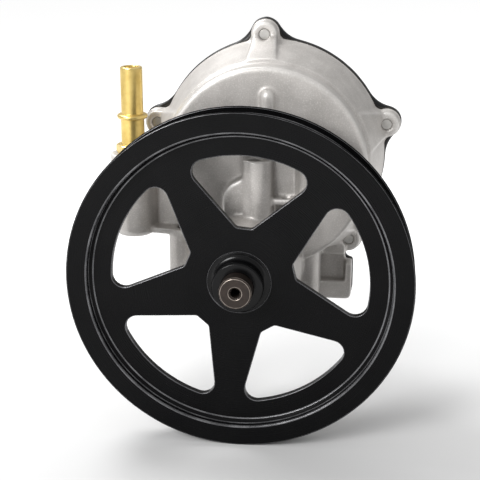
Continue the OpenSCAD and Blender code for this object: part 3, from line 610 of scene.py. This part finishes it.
@dataclass
class HoseNipple(SubAssembly):
    """The brass hose nipple: a turned tube with a bead, a hexagon, and a socket end with its O-ring groove."""

    bore: float = 4.0 * MM
    tube: float = 6.0 * MM
    root: float = 6.4 * MM
    bead: float = 8.5 * MM
    bead_down: float = 27.0 * MM
    hexagon: float = 9.6 * MM
    hexagon_down: float = 42.5 * MM
    hexagon_high: float = 5.0 * MM
    groove: float = 5.65 * MM
    socket: float = 7.4 * MM
    half_groove: float = 1.2 * MM
    half_bead: float = 1.2 * MM
    nut_bottom: float = 8.6 * MM
    nut_top: float = 8.4 * MM
    nut_chamfer: float = 0.8 * MM
    bead_shoulder: float = 0.6 * MM
    columns: int = 240

    def corners(self) -> np.ndarray:
        """Lists the profile's corners from the bottom of the bore, up the outside and down the bore.

        Returns:
            Array of corners by 4: radius, height, ease, and 1 on the hexagon's rows or 0.
        """
        low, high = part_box("hose_nipple")
        ring = middle("nipple_o_ring").z
        seat = high.z - self.hexagon_down - self.hexagon_high
        collar = high.z - self.bead_down
        nut = seat + self.hexagon_high
        shoulder = self.bead - self.bead_shoulder
        rows = [
            (self.bore, low.z, 0.2, 0), (self.socket, low.z, 0.4, 0), (self.socket, ring - self.half_groove, 0.1, 0),
            (self.groove, ring - self.half_groove, 0.1, 0), (self.groove, ring + self.half_groove, 0.1, 0),
            (self.socket, ring + self.half_groove, 0.1, 0), (self.socket, seat, 0.1, 0),
            (self.nut_bottom, seat, 0.1, 1), (self.hexagon, seat + self.nut_chamfer, 0.5, 1),
            (self.hexagon, nut - self.nut_chamfer, 0.5, 1), (self.nut_top, nut, 0.3, 1), (self.root, nut, 0.5, 0),
            (self.root, collar - self.half_bead, 0.5, 0), (shoulder, collar - self.half_bead, 0.7, 0),
            (self.bead, collar, 0.9, 0), (shoulder, collar + self.half_bead, 0.7, 0),
            (self.tube, collar + self.half_bead, 0.5, 0), (self.tube, high.z, 1.0, 0), (self.bore, high.z, 0.6, 0),
        ]
        return np.array(rows) * (1, 1, MM, 1)

    def build(self) -> None:
        """Builds the nipple as a turned profile whose hexagon's rows are cut to six flats.

        A point's radius is the profile's radius, and on the hexagon's rows the smaller of that and
        (corner radius times cos 30) / cos((angle modulo 60) - 30), in degrees.
        """
        steps = 5
        corners = self.corners()
        profile = eased(corners[:, :2], corners[:, 2], steps)
        on_nut = np.repeat(corners[:, 3], steps)[:, None] > 0
        angle = np.linspace(0, 2 * np.pi, self.columns, endpoint=False)[None, :]
        sixth = np.pi / 3
        flats = self.hexagon * np.cos(sixth / 2) / np.cos(angle % sixth - sixth / 2)
        radius = np.where(on_nut, np.minimum(profile[:, :1], flats), profile[:, :1])
        centre = middle("hose_nipple")
        height = np.broadcast_to(profile[:, 1:], radius.shape)
        points = np.stack([centre.x + radius * np.cos(angle), centre.y + radius * np.sin(angle), height], axis=-1)
        self.put(grid_piece("Hose_nipple_turned", points), Surface.BRASS, Lathe.NIPPLE, "nipple_brass", "hose_nipple")


@dataclass
class Pulley(SubAssembly):
    """The black pulley, its hub and the input shaft."""

    body: str = "drive_line"
    wheel_edge: float = 0.4 * MM
    hub_edge: float = 0.25 * MM
    shaft_edge: float = 0.2 * MM

    def build(self) -> None:
        """Builds the pieces that turn with the input shaft."""
        wheel = softened("pulley_wheel", "Pulley_wheel_eased", self.wheel_edge)
        self.put(wheel, Surface.PULLEY_COAT, Lathe.SHAFT, "black_pulley", "pulley_wheel")
        paint_edge_highlight(wheel, Surface.PULLEY_EDGE_HIGHLIGHT)
        hub = softened("pulley_hub", "Pulley_hub_eased", self.hub_edge)
        self.put(hub, Surface.HUB_COAT, Lathe.SHAFT, "black_pulley", "pulley_hub")
        shaft = softened("input_shaft", "Input_shaft_eased", self.shaft_edge)
        self.put(shaft, Surface.TARNISHED, Lathe.SHAFT, "shaft_steel", "input_shaft")
        paint_edge_highlight(shaft, Surface.SHAFT_EDGE_HIGHLIGHT)
        self.keep(Surface.GEAR, Lathe.SHAFT, "input_gear")
        self.keep(Surface.GROUND, None, "gear_key")
        self.keep(Surface.GROUND, Lathe.SHAFT, "input_spacer")
        self.keep(Surface.BEARING, Lathe.SHAFT, "front_bearing_inner_ring", "rear_bearing_inner_ring")


@dataclass
class StepUpGears(SubAssembly):
    """The idler, the impeller's shaft line and the bearings' balls and cages."""

    body: str = "impeller_line"
    ends: tuple[str, ...] = ("front", "rear", "nose", "tail")
    blade_edge: float = 0.12 * MM

    def build(self) -> None:
        """Dresses the inner turning pieces."""
        self.keep(Surface.GEAR, Lathe.IDLER, "idler_gear")
        self.keep(Surface.BRONZE, None, "idler_bush")
        self.keep(Surface.GEAR, Lathe.DRUM, "impeller_shaft")
        self.keep(Surface.GROUND, Lathe.DRUM, "impeller_sleeve")
        self.keep(Surface.OXIDE, None, "impeller_nut")
        self.keep(Surface.BEARING, Lathe.DRUM, "nose_bearing_inner_ring", "tail_bearing_inner_ring")
        wheel = softened("impeller", "Impeller_eased", self.blade_edge)
        self.put(wheel, Surface.MACHINED, Lathe.DRUM, "machined_aluminium", "impeller")
        for end in self.ends:
            self.keep(Surface.BALL, None, f"{end}_bearing_balls")
            self.keep(Surface.CAGE, None, f"{end}_bearing_cage")


# ---------------------------------------------------------------- studio


@dataclass
class Studio:
    """A pale floor, soft lights and the camera."""

    turn: float = 7.1
    tilt: float = 17.75
    lens: float = 86.25
    distance: float = 587 * MM
    aim: tuple[float, float, float] = (0.0, -58 * MM, 31 * MM)
    aim_right: float = -1.2 * MM
    aim_up: float = -23.6 * MM
    floor_size: float = 12.0
    floor_lines: int = 9
    floor_tone: str = "#cccccc"
    shade_centre: tuple[float, float, float] = (0.0, -0.15, 0.0)
    glow_from: tuple[float, float] = (0.1, 0.45)
    glow_to: tuple[float, float] = (0.0, 0.6)
    sky_from: tuple[float, float] = (0.0, 0.9)
    sky_to: tuple[float, float] = (0.5, 0.65)

    def lamp(self, name: str, place: tuple, size: float, power: float) -> None:
        """Adds a square soft light that faces the object.

        Args:
            name: Name of the light.
            place: Its middle.
            size: Length of its side.
            power: Its power in watts.
        """
        light = bpy.data.lights.new(name, "AREA")
        light.size = size
        light.energy = power
        lamp = bpy.data.objects.new(name, light)
        bpy.context.scene.collection.objects.link(lamp)
        way = Vector((0, 0, 0.04)) - Vector(place)
        lamp.matrix_world = Matrix.Translation(place) @ way.to_track_quat("-Z", "Y").to_matrix().to_4x4()

    def floor(self) -> None:
        """Lays the pale floor at the object's lowest point. It glows more the further it is from the front's shade."""
        low = CAD_BOX[0].z
        half = self.floor_size / 2
        side = np.linspace(-half, half, self.floor_lines)
        x, y = np.meshgrid(side, side, indexing="ij")
        points = np.stack([x, y, np.full_like(x, low)], axis=-1).reshape(-1, 3)
        index = np.arange(self.floor_lines**2).reshape(self.floor_lines, self.floor_lines)
        faces = np.stack([index[:-1, :-1], index[1:, :-1], index[1:, 1:], index[:-1, 1:]], axis=-1)
        mesh = bpy.data.meshes.new("Floor")
        mesh.from_pydata(points, [], faces.reshape(-1, 4))
        ground = bpy.data.objects.new("Floor", mesh)
        bpy.context.scene.collection.objects.link(ground)
        wires = Wiring("Matt_white_paper")
        wires.shader.inputs["Base Color"].default_value = linear(self.floor_tone)
        wires.shader.inputs["Roughness"].default_value = 0.9
        wires.shader.inputs["Specular IOR Level"].default_value = 0.1
        place = wires.add("TexCoord", {}).outputs["Object"]
        away = wires.add("VectorMath", {0: place, 1: self.shade_centre}, operation="DISTANCE").outputs["Value"]
        glow = wires.ramp(away, self.glow_from, self.glow_to)
        wires.tree.links.new(glow, wires.shader.inputs["Emission Strength"])
        wires.shader.inputs["Emission Color"].default_value = (1, 1, 1, 1)
        mesh.materials.append(wires.material)

    def sky(self) -> None:
        """Makes the room: bright overhead, dimmer towards the horizon, and plain white where it is seen directly."""
        world = bpy.data.worlds.new("Studio_room")
        bpy.context.scene.world = world
        world.use_nodes = True
        tree = world.node_tree
        glow = next(n for n in tree.nodes if n.type == "BACKGROUND")
        place = tree.nodes.new("ShaderNodeTexCoord")
        parts = tree.nodes.new("ShaderNodeSeparateXYZ")
        height = tree.nodes.new("ShaderNodeMapRange")
        path = tree.nodes.new("ShaderNodeLightPath")
        pick = tree.nodes.new("ShaderNodeMix")
        tree.links.new(place.outputs["Generated"], parts.inputs[0])
        tree.links.new(parts.outputs["Z"], height.inputs["Value"])
        for socket, value in enumerate(self.sky_from + self.sky_to, start=1):
            height.inputs[socket].default_value = value
        tree.links.new(path.outputs["Is Camera Ray"], pick.inputs[0])
        tree.links.new(height.outputs["Result"], pick.inputs[2])
        pick.inputs[3].default_value = 1.0
        tree.links.new(pick.outputs[0], glow.inputs["Strength"])
        glow.inputs["Color"].default_value = (1, 1, 1, 1)

    def camera(self) -> None:
        """Places the camera: it stands back from the aim point along the view, moved by the aim's two offsets."""
        a, e = math.radians(self.turn), math.radians(self.tilt)
        right = Vector((math.cos(a), math.sin(a), 0))
        back = Vector((math.sin(a) * math.cos(e), -math.cos(a) * math.cos(e), math.sin(e)))
        up = back.cross(right)
        place = Vector(self.aim) - self.aim_right * right - self.aim_up * up + self.distance * back
        lens = bpy.data.cameras.new("Camera")
        lens.lens = self.lens
        lens.clip_start = 0.01
        eye = bpy.data.objects.new("Camera", lens)
        bpy.context.scene.collection.objects.link(eye)
        turned = Matrix((right, up, back)).transposed().to_4x4()
        eye.matrix_world = Matrix.Translation(place) @ turned
        bpy.context.scene.camera = eye

    def build(self) -> None:
        """Sets up the studio."""
        self.floor()
        self.sky()
        self.lamp("Overhead_light", (-0.45, 0.3, 0.85), 0.4, 7.5)
        self.lamp("Key_light", (-0.55, -0.85, 0.6), 0.45, 10.5)
        self.camera()
        bpy.context.scene.view_settings.view_transform = "Standard"
        log.info("studio is set")


def main() -> None:
    """Builds every sub-assembly, then the studio."""
    logging.basicConfig(level=logging.INFO, format="%(name)s: %(message)s")
    Housing().build()
    HoseNipple().build()
    Pulley().build()
    StepUpGears().build()
    Studio().build()


if __name__ == "__main__":
    main()
